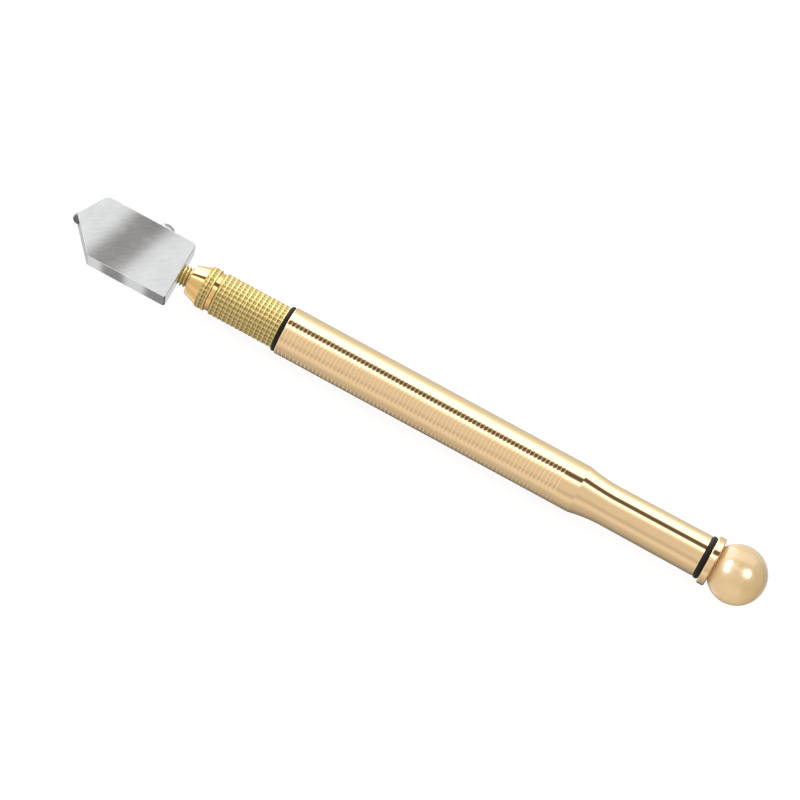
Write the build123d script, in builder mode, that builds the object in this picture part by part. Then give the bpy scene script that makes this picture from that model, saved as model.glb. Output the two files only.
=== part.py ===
from build123d import *
import os

# An oil-fed glass cutter with a wide straight-edge head, a swivelling stem, a sprung oil valve
# in the grip and a brass reservoir handle that ends in a tapping ball.
#
# Frame: origin at the wheel's contact point. +X runs along the handle's axis to the ball,
# +Z is the normal of the head's wide guide face, +Y points to the lock screw.
# Units are millimetres. Threads are plain cylinders: 0.05 apart where a thread is turned in
# use, touching where it is assembled once.

RUNNING_GAP = 0.05

# Cutting head
HEAD_THICKNESS = 6.4
HEAD_TOP = 6.9
HEAD_BOTTOM = -7.7
HEAD_REAR = 27.6
HEAD_TIP = (0.75, 0)
UPPER_SHOULDER_X = 4.8
LOWER_SHOULDER_X = 7.7
REAR_CORNER_R = 0.7
UPPER_SHOULDER_R = 1.6
LOWER_SHOULDER_R = 0.3
HEAD_EDGE_BEVEL = 0.15

# Cutting wheel and its axle, which lies along Z
WHEEL_R = 1.4
WHEEL_WIDTH = 1.0
WHEEL_RIM_WIDTH = 0.2
WHEEL_BEVEL_DEPTH = 0.35
WHEEL_SLOT_WIDTH = 1.1
WHEEL_SLOT_END = 3.2
AXLE_R = 0.3
AXLE_TOP = 2.4
OIL_CHANNEL_R = 0.6

# Stem: journal in the head, threaded collar, and a spigot in the valve plunger
JOURNAL_R = 2.0
JOURNAL_FRONT = 17.0
STEM_BORE_END = 16.8
COLLAR_R = 2.5
PLUNGER_FRONT = 31.2
SPIGOT_R = 1.8
SPIGOT_END = 35.2
OIL_BORE_R = 0.9
WICK_FRONT = 16.9
WICK_END = 30.0

# Lock screw, on the head's narrow side. Its pad bears on the bottom of a groove round the
# journal: tight, it stops the head from swivelling, and slack, it still keeps the head on.
LOCK_X = 19.8
STEM_GROOVE_R = 1.6
STEM_GROOVE_WIDTH = 3.0
PAD_R = 1.3
PAD_THICKNESS = 1.0
LOCK_SCREW_R = 1.5
LOCK_HEAD_R = 2.25
LOCK_HEAD_UNDERSIDE = 6.85
LOCK_HEAD_HEIGHT = 1.85
LOCK_HEAD_RIM = 0.25
COUNTERBORE_R = 2.4
COUNTERBORE_DEPTH = 0.4
DRIVER_SLOT_WIDTH = 0.6
DRIVER_SLOT_DEPTH = 0.5

# Nose nut: cone, knurled ring and neck outside, a washer recess and a thread inside
NOSE_FRONT = 30.1
NOSE_FRONT_R = 3.45
CONE_END = 33.45
CONE_END_R = 4.65
NOSE_RING_R = 5.05
NOSE_RING_END = 35.8
NOSE_NECK_R = 4.6
NOSE_END = 36.95
NOSE_BORE_R = 2.55
NOSE_MOUTH_R = 2.95
NOSE_MOUTH_DEPTH = 0.3
WASHER_FRONT = 30.8
WASHER_R = 3.1
WASHER_HOLE_R = 2.55

# Grip sleeve
GRIP_THREAD_FRONT = 31.9
GRIP_THREAD_R = 3.6
GRIP_FRONT = 37.0
GRIP_END = 53.2
GRIP_R = 5.1
GRIP_TAIL_R = 4.5
GRIP_TAIL_END = 61.0
GRIP_EDGE = 0.3
FRONT_BORE_R = 2.85
SEAT_FRONT = 42.0
SEAT_REAR = 43.6
SEAT_HOLE_R = 1.6
CHAMBER_R = 3.2

# Oil valve
PLUNGER_R = 2.8
PLUNGER_END = 36.4
PLUNGER_GROOVE_R = 2.3
PLUNGER_GROOVE_FRONT = 33.4
PLUNGER_GROOVE_END = 34.4
PUSH_ROD_R = 1.2
PUSH_ROD_END = 42.6
CROSS_HOLE_X = 37.2
CROSS_HOLE_R = 0.5
VALVE_R = 2.8
VALVE_SEAL_END = 44.6
VALVE_DISC_END = 45.8
VALVE_GUIDE_END = 50.0
SPRING_WIRE_R = 0.25
SPRING_MEAN_R = 2.2
SPRING_TURNS = 8
RETAINER_FRONT = 57.0
RETAINER_END = 58.6
RETAINER_HOLE_R = 1.5

# Barrel, which is the oil reservoir
BARREL_FRONT = 54.2
BARREL_R = 5.7
BARREL_STRAIGHT_END = 128.9
TAPER_END = 137.0
TAPER_END_R = 4.825
BARREL_END = 160.0
BARREL_END_R = 4.975
RESERVOIR_R = 3.9
BARREL_EDGE = 0.35

# End cap
FLANGE_FRONT = 161.3
FLANGE_END = 163.2
FLANGE_R = 5.85
FLANGE_RIM_R = 0.4
PLUG_FRONT = 154.4
PLUG_EDGE = 0.5
STUD_R = 2.0
STUD_END = 169.5
BALL_CENTRE = 168.7
BALL_R = 6.9

# O-rings
FRONT_RING_R = 5.525
REAR_RING_R = 5.2
REAR_RING_HOLE_R = 3.87


def section(x_from, x_to, r_in, r_out, mode=Mode.ADD):
    """Half section of a ring about X, from x_from to x_to and from r_in to r_out."""
    with Locations(((x_from + x_to) / 2, (r_in + r_out) / 2)):
        Rectangle(x_to - x_from, r_out - r_in, mode=mode)


def save(piece, name):
    """Label a finished piece and write it to its own STEP file."""
    piece.part.label = name
    export_step(piece.part, f"parts/{name}.step")


os.makedirs("parts", exist_ok=True)

# ---------------------------------------------------------------- cutting head
head_outline = [
    HEAD_TIP,
    (UPPER_SHOULDER_X, HEAD_TOP),
    (HEAD_REAR, HEAD_TOP),
    (HEAD_REAR, HEAD_BOTTOM),
    (LOWER_SHOULDER_X, HEAD_BOTTOM),
]
half_thickness = HEAD_THICKNESS / 2
wheel_axis = Plane(origin=(WHEEL_R, 0, 0), z_dir=(0, 0, 1))
lock_axis = Axis((LOCK_X, 0, 0), (0, 1, 0))

with BuildPart() as head_block:
    with BuildSketch(Plane.XY) as outline:
        with BuildLine():
            Polyline(*head_outline, close=True)
        make_face()
        corners = outline.vertices().sort_by(Axis.X)
        fillet(corners[-2:], REAR_CORNER_R)
        fillet(corners[1], UPPER_SHOULDER_R)
        fillet(corners[2], LOWER_SHOULDER_R)
    extrude(amount=half_thickness, both=True)
    wide_faces = head_block.faces().sort_by(Axis.Z)
    chamfer(wide_faces[-1].edges() + wide_faces[0].edges(), HEAD_EDGE_BEVEL)
    # Saw slot for the wheel, across the tip
    with BuildSketch(Plane.XY):
        with Locations((WHEEL_SLOT_END / 2, 0)):
            Rectangle(WHEEL_SLOT_END, 2 * HEAD_TOP)
    extrude(amount=WHEEL_SLOT_WIDTH / 2, both=True, mode=Mode.SUBTRACT)
    # Axle hole, blind towards the front guide face
    with BuildSketch(wheel_axis.offset(-half_thickness)):
        Circle(AXLE_R)
    extrude(amount=half_thickness + AXLE_TOP, mode=Mode.SUBTRACT)
    # Stem bore and the oil channel that runs on to the slot
    with BuildSketch(Plane.XY):
        section(STEM_BORE_END, HEAD_REAR, 0, JOURNAL_R + RUNNING_GAP)
        section(WHEEL_SLOT_END, STEM_BORE_END, 0, OIL_CHANNEL_R)
    revolve(axis=Axis.X, mode=Mode.SUBTRACT)
    # Lock screw hole and the counterbore for its head
    with BuildSketch(Plane.XZ.offset(-HEAD_TOP)):
        with Locations((LOCK_X, 0)):
            Circle(LOCK_SCREW_R + RUNNING_GAP)
    extrude(amount=HEAD_TOP, mode=Mode.SUBTRACT)
    with BuildSketch(Plane.XZ.offset(-HEAD_TOP)):
        with Locations((LOCK_X, 0)):
            Circle(COUNTERBORE_R)
    extrude(amount=COUNTERBORE_DEPTH, mode=Mode.SUBTRACT)
save(head_block, "head_block")

with BuildPart() as wheel_axle:
    with BuildSketch(wheel_axis.offset(-half_thickness)):
        Circle(AXLE_R)
    extrude(amount=half_thickness + AXLE_TOP)
save(wheel_axle, "wheel_axle")

with BuildPart() as cutting_wheel:
    with BuildSketch(wheel_axis):
        Circle(WHEEL_R)
    extrude(amount=WHEEL_WIDTH / 2, both=True)
    bevel = (WHEEL_WIDTH - WHEEL_RIM_WIDTH) / 2
    chamfer(cutting_wheel.edges().filter_by(GeomType.CIRCLE), bevel, WHEEL_BEVEL_DEPTH)
    with BuildSketch(wheel_axis):
        Circle(AXLE_R + RUNNING_GAP / 2)
    extrude(amount=WHEEL_WIDTH / 2, both=True, mode=Mode.SUBTRACT)
save(cutting_wheel, "cutting_wheel")

# ---------------------------------------------------------------- lock screw and its pad
pad_top = STEM_GROOVE_R + PAD_THICKNESS
dome_top = LOCK_HEAD_UNDERSIDE + LOCK_HEAD_HEIGHT

with BuildPart() as lock_pad:
    with BuildSketch(Plane.XZ.offset(-STEM_GROOVE_R)):
        with Locations((LOCK_X, 0)):
            Circle(PAD_R)
    extrude(amount=-PAD_THICKNESS)
save(lock_pad, "lock_pad")

with BuildPart() as lock_screw:
    with BuildSketch(Plane.XY):
        with BuildLine():
            Polyline(
                (LOCK_X, dome_top),
                (LOCK_X, pad_top),
                (LOCK_X + LOCK_SCREW_R, pad_top),
                (LOCK_X + LOCK_SCREW_R, LOCK_HEAD_UNDERSIDE),
                (LOCK_X + LOCK_HEAD_R, LOCK_HEAD_UNDERSIDE),
                (LOCK_X + LOCK_HEAD_R, LOCK_HEAD_UNDERSIDE + LOCK_HEAD_RIM),
            )
            TangentArc(
                (LOCK_X, dome_top),
                (LOCK_X + LOCK_HEAD_R, LOCK_HEAD_UNDERSIDE + LOCK_HEAD_RIM),
                tangent=(1, 0),
            )
        make_face()
    revolve(axis=lock_axis)
    with BuildSketch(Plane.XZ.offset(-dome_top)):
        with Locations((LOCK_X, 0)):
            Rectangle(2 * LOCK_HEAD_R, DRIVER_SLOT_WIDTH)
    extrude(amount=DRIVER_SLOT_DEPTH, mode=Mode.SUBTRACT)
save(lock_screw, "lock_screw")

# ---------------------------------------------------------------- stem and plunger
groove_front = LOCK_X - STEM_GROOVE_WIDTH / 2

with BuildPart() as stem:
    with BuildSketch(Plane.XY):
        section(JOURNAL_FRONT, HEAD_REAR, OIL_BORE_R, JOURNAL_R)
        section(HEAD_REAR, PLUNGER_FRONT, OIL_BORE_R, COLLAR_R)
        section(PLUNGER_FRONT, SPIGOT_END, OIL_BORE_R, SPIGOT_R)
        section(groove_front, groove_front + STEM_GROOVE_WIDTH, STEM_GROOVE_R, JOURNAL_R, mode=Mode.SUBTRACT)
    revolve(axis=Axis.X)
save(stem, "stem")

with BuildPart() as oil_wick:
    with BuildSketch(Plane.XY):
        section(WICK_FRONT, WICK_END, 0, OIL_BORE_R)
    revolve(axis=Axis.X)
save(oil_wick, "oil_wick")

with BuildPart() as valve_plunger:
    with BuildSketch(Plane.XY):
        section(PLUNGER_FRONT, PLUNGER_END, 0, PLUNGER_R)
        section(PLUNGER_END, PUSH_ROD_END, 0, PUSH_ROD_R)
        section(PLUNGER_FRONT, SPIGOT_END, 0, SPIGOT_R, mode=Mode.SUBTRACT)
        section(SPIGOT_END, CROSS_HOLE_X, 0, CROSS_HOLE_R, mode=Mode.SUBTRACT)
        section(PLUNGER_GROOVE_FRONT, PLUNGER_GROOVE_END, PLUNGER_GROOVE_R, PLUNGER_R, mode=Mode.SUBTRACT)
    revolve(axis=Axis.X)
    with BuildSketch(Plane.XY):
        with Locations((CROSS_HOLE_X, 0)):
            Circle(CROSS_HOLE_R)
    extrude(amount=PLUNGER_R, both=True, mode=Mode.SUBTRACT)
save(valve_plunger, "valve_plunger")

with BuildPart() as plunger_o_ring:
    with BuildSketch(Plane.XY) as ring_section:
        section(PLUNGER_GROOVE_FRONT, PLUNGER_GROOVE_END, PLUNGER_GROOVE_R, FRONT_BORE_R)
        fillet(ring_section.vertices(), 0.2)
    revolve(axis=Axis.X)
save(plunger_o_ring, "plunger_o_ring")

# ---------------------------------------------------------------- nose nut and its washer
with BuildPart() as thrust_washer:
    with BuildSketch(Plane.XY):
        section(WASHER_FRONT, PLUNGER_FRONT, WASHER_HOLE_R, WASHER_R)
    revolve(axis=Axis.X)
save(thrust_washer, "thrust_washer")

with BuildPart() as nose_nut:
    with BuildSketch(Plane.XY):
        with BuildLine():
            Polyline(
                (NOSE_FRONT, NOSE_MOUTH_R),
                (NOSE_FRONT, NOSE_FRONT_R),
                (CONE_END, CONE_END_R),
                (CONE_END, NOSE_RING_R),
                (NOSE_RING_END, NOSE_RING_R),
                (NOSE_RING_END, NOSE_NECK_R),
                (NOSE_END, NOSE_NECK_R),
                (NOSE_END, GRIP_THREAD_R + RUNNING_GAP),
                (GRIP_THREAD_FRONT, GRIP_THREAD_R + RUNNING_GAP),
                (GRIP_THREAD_FRONT, WASHER_R + RUNNING_GAP),
                (WASHER_FRONT, WASHER_R + RUNNING_GAP),
                (WASHER_FRONT, NOSE_BORE_R),
                (NOSE_FRONT + NOSE_MOUTH_DEPTH, NOSE_BORE_R),
                close=True,
            )
        make_face()
    revolve(axis=Axis.X)
save(nose_nut, "nose_nut")

# ---------------------------------------------------------------- grip sleeve and oil valve
with BuildPart() as grip_sleeve:
    with BuildSketch(Plane.XY):
        section(GRIP_THREAD_FRONT, GRIP_FRONT, FRONT_BORE_R, GRIP_THREAD_R)
        section(GRIP_FRONT, GRIP_END, FRONT_BORE_R, GRIP_R)
        section(GRIP_END, GRIP_TAIL_END, FRONT_BORE_R, GRIP_TAIL_R)
        section(SEAT_FRONT, SEAT_REAR, SEAT_HOLE_R, FRONT_BORE_R)
        section(SEAT_REAR, GRIP_TAIL_END, FRONT_BORE_R, CHAMBER_R, mode=Mode.SUBTRACT)
    revolve(axis=Axis.X)
    rims = grip_sleeve.edges().filter_by(GeomType.CIRCLE)
    chamfer(rims.filter_by(lambda edge: abs(edge.radius - GRIP_R) < 0.01), GRIP_EDGE)
save(grip_sleeve, "grip_sleeve")

with BuildPart() as valve_seal:
    with BuildSketch(Plane.XY):
        section(SEAT_REAR, VALVE_SEAL_END, PUSH_ROD_R, VALVE_R)
    revolve(axis=Axis.X)
save(valve_seal, "valve_seal")

with BuildPart() as valve_poppet:
    with BuildSketch(Plane.XY):
        section(PUSH_ROD_END, VALVE_GUIDE_END, 0, PUSH_ROD_R)
        section(VALVE_SEAL_END, VALVE_DISC_END, 0, VALVE_R)
    revolve(axis=Axis.X)
save(valve_poppet, "valve_poppet")

spring_start = VALVE_DISC_END + SPRING_WIRE_R
spring_length = RETAINER_FRONT - VALVE_DISC_END - 2 * SPRING_WIRE_R
with BuildPart() as valve_spring:
    with BuildLine() as coil:
        Helix(
            pitch=spring_length / SPRING_TURNS,
            height=spring_length,
            radius=SPRING_MEAN_R,
            center=(spring_start, 0, 0),
            direction=(1, 0, 0),
        )
    with BuildSketch(coil.line ^ 0):
        Circle(SPRING_WIRE_R)
    sweep(is_frenet=True)
save(valve_spring, "valve_spring")

with BuildPart() as spring_retainer:
    with BuildSketch(Plane.XY):
        section(RETAINER_FRONT, RETAINER_END, RETAINER_HOLE_R, CHAMBER_R)
    revolve(axis=Axis.X)
save(spring_retainer, "spring_retainer")

# ---------------------------------------------------------------- barrel and its front seal
with BuildPart() as front_o_ring:
    with BuildSketch(Plane.XY) as ring_section:
        section(GRIP_END, BARREL_FRONT, GRIP_TAIL_R, FRONT_RING_R)
        outer = ring_section.vertices().group_by(Axis.Y)[-1]
        fillet(outer, 0.4)
    revolve(axis=Axis.X)
save(front_o_ring, "front_o_ring")

with BuildPart() as barrel:
    with BuildSketch(Plane.XY):
        with BuildLine():
            Polyline(
                (BARREL_END, BARREL_END_R),
                (BARREL_END, RESERVOIR_R),
                (GRIP_TAIL_END, RESERVOIR_R),
                (GRIP_TAIL_END, GRIP_TAIL_R),
                (BARREL_FRONT, GRIP_TAIL_R),
                (BARREL_FRONT, BARREL_R - BARREL_EDGE),
                (BARREL_FRONT + BARREL_EDGE, BARREL_R),
                (BARREL_STRAIGHT_END, BARREL_R),
            )
            # The concave taper leaves the barrel steeply and runs out along the rear tube
            TangentArc(
                (TAPER_END, TAPER_END_R),
                (BARREL_STRAIGHT_END, BARREL_R),
                tangent=(-(BARREL_END - TAPER_END), -(BARREL_END_R - TAPER_END_R)),
            )
            Line((TAPER_END, TAPER_END_R), (BARREL_END, BARREL_END_R))
        make_face()
    revolve(axis=Axis.X)
save(barrel, "barrel")

# ---------------------------------------------------------------- end cap
with BuildPart() as rear_o_ring:
    with BuildSketch(Plane.XY) as ring_section:
        section(BARREL_END, FLANGE_FRONT, REAR_RING_HOLE_R, REAR_RING_R)
        outer = ring_section.vertices().group_by(Axis.Y)[-1]
        fillet(outer, 0.45)
    revolve(axis=Axis.X)
save(rear_o_ring, "rear_o_ring")

with BuildPart() as filler_plug:
    with BuildSketch(Plane.XY):
        section(PLUG_FRONT, FLANGE_FRONT, 0, RESERVOIR_R - RUNNING_GAP)
        section(FLANGE_FRONT, FLANGE_END, 0, FLANGE_R)
        section(FLANGE_END, STUD_END, 0, STUD_R)
    revolve(axis=Axis.X)
    rims = filler_plug.edges().filter_by(GeomType.CIRCLE)
    fillet(rims.filter_by(lambda edge: abs(edge.radius - FLANGE_R) < 0.01), FLANGE_RIM_R)
    chamfer(filler_plug.faces().sort_by(Axis.X)[0].edges(), PLUG_EDGE)
save(filler_plug, "filler_plug")

with BuildPart() as tapping_ball:
    with BuildSketch(Plane.XY):
        with Locations((BALL_CENTRE, 0)):
            Circle(BALL_R)
        section(BALL_CENTRE - 2 * BALL_R, BALL_CENTRE + 2 * BALL_R, -2 * BALL_R, 0, mode=Mode.SUBTRACT)
        section(BALL_CENTRE - 2 * BALL_R, FLANGE_END, 0, BALL_R, mode=Mode.SUBTRACT)
        section(FLANGE_END, STUD_END, 0, STUD_R, mode=Mode.SUBTRACT)
    revolve(axis=Axis.X)
save(tapping_ball, "tapping_ball")
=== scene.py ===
import math

import bmesh
import bpy
from mathutils import Matrix, Vector


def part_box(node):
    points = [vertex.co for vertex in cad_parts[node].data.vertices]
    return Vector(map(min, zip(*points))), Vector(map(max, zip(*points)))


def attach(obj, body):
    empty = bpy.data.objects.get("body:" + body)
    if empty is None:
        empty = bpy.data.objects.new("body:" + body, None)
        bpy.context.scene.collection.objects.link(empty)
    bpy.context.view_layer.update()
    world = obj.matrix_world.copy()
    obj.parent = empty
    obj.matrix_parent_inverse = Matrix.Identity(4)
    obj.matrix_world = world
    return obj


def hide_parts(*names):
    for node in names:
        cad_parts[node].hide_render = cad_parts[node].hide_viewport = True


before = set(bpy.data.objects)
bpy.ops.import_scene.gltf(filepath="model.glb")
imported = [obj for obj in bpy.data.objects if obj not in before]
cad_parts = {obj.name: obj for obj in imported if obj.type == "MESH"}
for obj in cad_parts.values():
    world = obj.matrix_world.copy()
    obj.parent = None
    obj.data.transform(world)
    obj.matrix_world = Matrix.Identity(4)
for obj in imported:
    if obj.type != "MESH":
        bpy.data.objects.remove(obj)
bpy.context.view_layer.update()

# An oil-fed glass cutter. The frame has the wheel's contact point at its origin, +X along the
# handle's axis to the ball, +Z out of the head's wide guide face and +Y towards the lock screw.
# Profiles are written in millimetres as (x, r): a place along the handle and a radius.

MM = 0.001
FULL_TURN = 2 * math.pi


def span(node, axis=0):
    """Where a CAD node starts and ends along one axis, in millimetres."""
    low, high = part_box(node)
    return low[axis] / MM, high[axis] / MM


def radius(node):
    """A turned CAD node's largest radius, in millimetres."""
    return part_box(node)[1].z / MM


def link(thing):
    """An object put into the scene."""
    bpy.context.scene.collection.objects.link(thing)
    return thing


# ---------------------------------------------------------------- camera
# A long lens from above: the head turns its lower narrow side and a little of its rear to the
# camera, and the ball end is seen nearly square. The tool descends to the right.
LENS = 213
SENSOR = 36
PICTURE_WIDTH = 178.4
LEAN = math.radians(3.7)
TOOL_ROLL = math.radians(16.9)
DESCENT = math.radians(28.45)
AIM_X = 92.17
AIM_LEFT = 7.71
AIM_UP = 2.41


def add_camera():
    to_camera = Vector((
        math.sin(LEAN),
        -math.sin(TOOL_ROLL) * math.cos(LEAN),
        math.cos(TOOL_ROLL) * math.cos(LEAN),
    ))
    along = Vector((1, 0, 0))
    along = (along - along.dot(to_camera) * to_camera).normalized()
    across = to_camera.cross(along)
    right = math.cos(DESCENT) * along + math.sin(DESCENT) * across
    up = to_camera.cross(right)
    aim = Vector((AIM_X, 0, 0)) - AIM_LEFT * right + AIM_UP * up
    distance = PICTURE_WIDTH * LENS / SENSOR
    data = bpy.data.cameras.new("camera")
    data.lens = LENS
    data.sensor_width = SENSOR
    data.clip_end = 20
    camera = link(bpy.data.objects.new("camera", data))
    turn = Matrix((right, up, to_camera)).transposed().to_4x4()
    camera.matrix_world = Matrix.Translation((aim + distance * to_camera) * MM) @ turn
    bpy.context.scene.camera = camera


# ---------------------------------------------------------------- material tools
class Nodes:
    """A node tree being built. add() makes a node and feeds its inputs from values or sockets."""

    def __init__(self, tree):
        self.tree = tree
        tree.nodes.clear()

    def add(self, kind, feed=None, **settings):
        node = self.tree.nodes.new(kind)
        for key, value in settings.items():
            setattr(node, key, value)
        for key, value in (feed or {}).items():
            if isinstance(value, bpy.types.NodeSocket):
                self.tree.links.new(value, node.inputs[key])
            else:
                node.inputs[key].default_value = value
        return node

    def math(self, operation, a, b=0.0):
        return self.add("ShaderNodeMath", {0: a, 1: b}, operation=operation).outputs[0]

    def spread(self, value, low, high):
        """A value of 0 to 1 made into low to high."""
        feed = {"Value": value, "To Min": low, "To Max": high}
        return self.add("ShaderNodeMapRange", feed).outputs[0]

    def split(self, vector):
        """A vector's x, y and z."""
        return self.add("ShaderNodeSeparateXYZ", {0: vector}).outputs

    def place(self, scale=(1, 1, 1), turn=(0, 0, 0)):
        """The piece's own coordinates in millimetres, turned and then scaled."""
        coords = self.add("ShaderNodeTexCoord").outputs["Object"]
        turned = self.add("ShaderNodeMapping", {"Vector": coords, "Rotation": turn}).outputs[0]
        in_mm = [s / MM for s in scale]
        return self.add("ShaderNodeMapping", {"Vector": turned, "Scale": in_mm}).outputs[0]

    def noise(self, vector, detail=3.0, roughness=0.5):
        feed = {"Vector": vector, "Scale": 1.0, "Detail": detail, "Roughness": roughness}
        return self.add("ShaderNodeTexNoise", feed).outputs["Fac"]

    def bump(self, height, strength, distance, under=None):
        """A normal from a height, each unit of which stands for distance in millimetres."""
        feed = {"Height": height, "Strength": strength, "Distance": distance * MM}
        if under is not None:
            feed["Normal"] = under
        return self.add("ShaderNodeBump", feed).outputs["Normal"]

    def blend(self, factor, a, b):
        """A colour between a and b."""
        node = self.add("ShaderNodeMix", None, data_type="RGBA")
        for key, value in (("Factor", factor), (6, a), (7, b)):
            if isinstance(value, bpy.types.NodeSocket):
                self.tree.links.new(value, node.inputs[key])
            else:
                node.inputs[key].default_value = value
        return node.outputs[2]


def rgb(red, green, blue):
    """A linear colour with full alpha."""
    return (red, green, blue, 1.0)


def new_material(name):
    material = bpy.data.materials.new(name)
    material.use_nodes = True
    return material, Nodes(material.node_tree)


def finish_material(nodes, feed):
    shader = nodes.add("ShaderNodeBsdfPrincipled", feed)
    nodes.add("ShaderNodeOutputMaterial", {"Surface": shader.outputs[0]})


# ---------------------------------------------------------------- materials
TOOL_MARK = 0.0006


def turned_metal(name, colour, dark, roughness, axis=0, roll=0.0):
    """Metal off a lathe: faint rings from the tool about one axis, and soft smudges of handling.

    roll leans the shading normal towards +Y by that slope. It moves what the metal reflects and
    leaves its shape alone.
    """
    material, nodes = new_material(name)
    fine = [0.05, 0.05, 0.05]
    fine[axis] = 9.0
    rings = nodes.noise(nodes.place(fine), detail=4.0)
    smudges = nodes.noise(nodes.place((0.25, 0.5, 0.5)))
    rough = nodes.math("ADD", nodes.spread(smudges, roughness * 0.8, roughness * 1.2),
                       nodes.spread(rings, -0.01, 0.01))
    leaning = None
    if roll:
        place_y = nodes.split(nodes.place())[1]
        leaning = nodes.bump(nodes.math("MULTIPLY", place_y, roll), 1.0, 1.0)
    finish_material(nodes, {
        "Base Color": nodes.blend(smudges, colour, dark),
        "Metallic": 1.0,
        "Roughness": rough,
        "Normal": nodes.bump(rings, 0.5, TOOL_MARK, leaning),
    })
    return material


# Between which radii the brass goes from its pits, painted darker as shade, to its bare ridges
KNURL_RADII = (4.88, 5.06)
STEM_THREAD_RADII = (2.10, 2.46)


def brass_with_painted_pit_shade(name, floor_r, ridge_r, ridges, sheen):
    """Brass turned with a relief: the pits are painted darker as shade and mottled with some dirt,
    between smoother bare ridges.
    """
    material, nodes = new_material(name)
    _, y, z = nodes.split(nodes.place())
    squares = [nodes.math("MULTIPLY", part, part) for part in (y, z)]
    r = nodes.math("SQRT", nodes.math("ADD", *squares))
    feed = {"Value": r, "From Min": floor_r, "From Max": ridge_r}
    raised = nodes.add("ShaderNodeMapRange", feed).outputs[0]
    dirt = nodes.noise(nodes.place((1.5, 1.5, 1.5)), detail=4.0, roughness=0.7)
    # The pit colours are painted shade, darker than the ridges, with a mottle of dirt between the
    # two
    pit_shade_and_dirt = nodes.blend(dirt, rgb(0.42, 0.315, 0.10), rgb(0.54, 0.415, 0.15))
    finish_material(nodes, {
        "Base Color": nodes.blend(raised, pit_shade_and_dirt, ridges),
        "Metallic": 1.0,
        "Roughness": nodes.spread(raised, 0.50, sheen),
        "Normal": nodes.bump(dirt, 0.3, 0.004),
    })
    return material


BRUSH_TURN = math.radians(-35)
# The faces are ground a touch out of flat. On a wide face a level strip runs aslant between two
# rises, and on a narrow face the level spots are one pitch apart. Each has its level place, pitch
# and slope, and every face leans by FACE_ROLL as well.
LEVEL_STRIP_TURN = math.radians(19)
WIDE_RISES = (13.2, 21.6, 0.12)
NARROW_RISES = (14.2, 11.4, 0.20)
FACE_ROLL = -0.05
# A face counts as facing an axis when more than this share of its normal lies along it
FACING = 0.5


def rises(nodes, turn, level, pitch, slope):
    """A height that climbs in steps along the head, level at one place and every pitch from it."""
    along = nodes.split(nodes.place(turn=(0, 0, turn)))[0]
    past = nodes.math("SUBTRACT", along, level)
    rate = FULL_TURN / pitch
    ripple = nodes.math("DIVIDE", nodes.math("SINE", nodes.math("MULTIPLY", past, rate)), rate)
    return nodes.math("MULTIPLY", nodes.math("SUBTRACT", past, ripple), slope / 2)


def brushed_steel():
    """Brushed stainless: faint slanted brush lines on faces that are ground a touch out of flat,
    with the faces that slope towards the tip painted dark grey as shade.
    """
    material, nodes = new_material("head_brushed_steel")
    brushed = nodes.place((0.35, 2.6, 0.35), (0, 0, BRUSH_TURN))
    lines = nodes.noise(brushed, detail=5.0, roughness=0.6)
    patches = nodes.noise(nodes.place((0.22, 0.22, 0.22)), detail=2.0)
    mottle = nodes.math("ADD", nodes.spread(lines, 0.0, 0.6), nodes.spread(patches, 0.0, 0.4))
    normal_x, normal_y, _ = nodes.split(nodes.add("ShaderNodeTexCoord").outputs["Normal"])
    narrow = nodes.math("GREATER_THAN", nodes.math("ABSOLUTE", normal_y), FACING)
    wide = nodes.math("SUBTRACT", 1.0, narrow)
    on_wide = nodes.math("MULTIPLY", rises(nodes, LEVEL_STRIP_TURN, *WIDE_RISES), wide)
    on_narrow = nodes.math("MULTIPLY", rises(nodes, 0, *NARROW_RISES), narrow)
    roll = nodes.math("MULTIPLY", nodes.split(nodes.place())[1], FACE_ROLL)
    waves = nodes.math("ADD", nodes.math("ADD", on_wide, on_narrow), roll)
    ground = nodes.bump(waves, 1.0, 1.0)
    # The faces that slope towards the tip get a dark grey base colour, a painted shade
    shaded_tip_faces = nodes.math("LESS_THAN", normal_x, -FACING)
    bright = nodes.blend(mottle, rgb(0.565, 0.57, 0.575), rgb(0.875, 0.88, 0.885))
    rough = nodes.math("ADD", nodes.spread(lines, 0.16, 0.22), nodes.spread(patches, -0.02, 0.02))
    finish_material(nodes, {
        "Base Color": nodes.blend(shaded_tip_faces, bright, rgb(0.17, 0.17, 0.175)),
        "Metallic": 1.0,
        "Roughness": rough,
        "Normal": nodes.bump(lines, 0.3, 0.001, ground),
    })
    return material


def black_rubber():
    """Moulded nitrile: near black and satin, with a fine skin and a little dust."""
    material, nodes = new_material("seal_black_rubber")
    skin = nodes.noise(nodes.place((9.0, 9.0, 9.0)))
    dust = nodes.noise(nodes.place((1.2, 1.2, 1.2)), detail=4.0, roughness=0.7)
    finish_material(nodes, {
        "Base Color": nodes.blend(dust, rgb(0.006, 0.006, 0.007), rgb(0.020, 0.019, 0.018)),
        "Roughness": nodes.spread(dust, 0.38, 0.55),
        "Specular IOR Level": 0.15,
        "Normal": nodes.bump(skin, 0.25, 0.008),
    })
    return material


def lacquered_gold():
    """Satin gold plating under a clear lacquer."""
    material, nodes = new_material("ball_lacquered_gold")
    smudges = nodes.noise(nodes.place((0.2, 0.2, 0.2)))
    grain = nodes.noise(nodes.place((7.0, 7.0, 7.0)), detail=2.0)
    finish_material(nodes, {
        "Base Color": nodes.blend(smudges, rgb(0.56, 0.380, 0.175), rgb(0.58, 0.395, 0.185)),
        "Metallic": 0.05,
        "Roughness": nodes.spread(smudges, 0.34, 0.42),
        "Coat Weight": 1.0,
        "Coat Roughness": nodes.spread(grain, 0.06, 0.09),
        "Normal": nodes.bump(grain, 0.1, 0.001),
    })
    return material


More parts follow.
